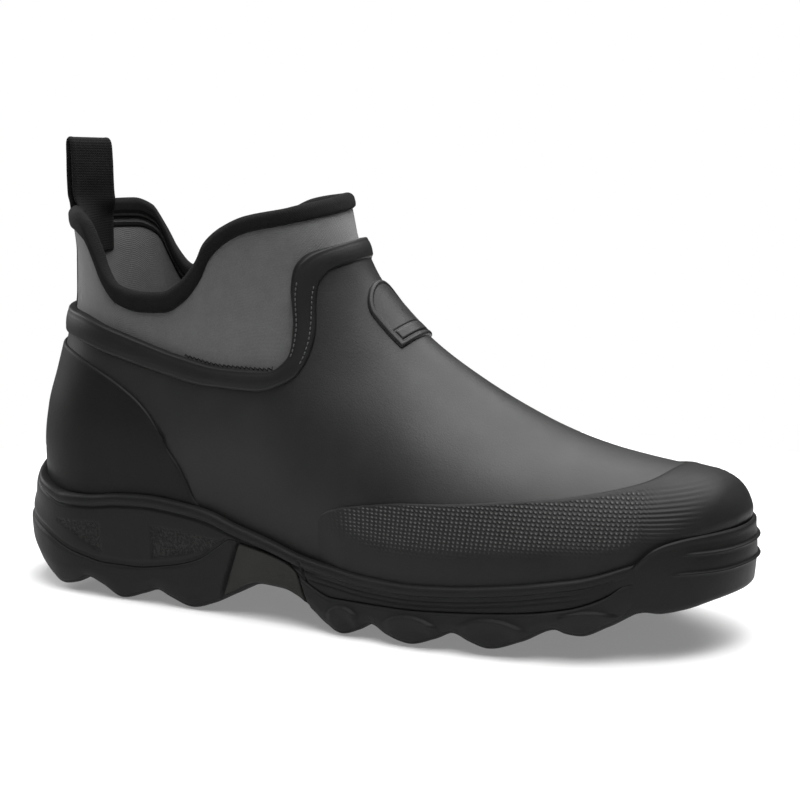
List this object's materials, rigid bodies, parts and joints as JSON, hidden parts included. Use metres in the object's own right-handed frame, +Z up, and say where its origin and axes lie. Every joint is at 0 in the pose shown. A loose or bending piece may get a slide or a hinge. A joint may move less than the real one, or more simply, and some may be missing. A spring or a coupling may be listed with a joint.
{
  "type": "rubber ankle boot",
  "caption": "Low slip-on rain boot for the right foot: soft inner boot with a bound collar and a pull loop, moulded rubber shell, toe guard, heel counter and lugged sole.",
  "frame": {"origin": "on the floor, under the middle of the boot's bounding box", "axes": "+X from heel to toe, +Y towards the inner side of the foot, +Z up"},
  "size_m": [0.2974, 0.1076, 0.1731],
  "materials": {
    "sole_rubber": "matt black moulded rubber with a soft sheen",
    "shell_rubber": "satin charcoal rubber with a fine grain",
    "guard_rubber": "matt black rubber with a fine moulded knurl",
    "knit": "grey knitted jersey on foam",
    "tape": "black folded tape and ribbed webbing",
    "insole_foam": "dark grey felt on foam"
  },
  "bodies": {
    "root": {"outsole": "sole_rubber", "midsole": "sole_rubber", "toe_bumper": "sole_rubber", "waist_inlay_outer": "guard_rubber", "waist_inlay_inner": "guard_rubber", "upper": "knit", "rubber_shell": "shell_rubber", "shell_band": "shell_rubber", "toe_guard": "guard_rubber", "heel_counter": "guard_rubber", "collar_binding": "tape", "pull_loop": "tape", "instep_badge": "guard_rubber", "insole": "insole_foam"}
  },
  "joints": []
}
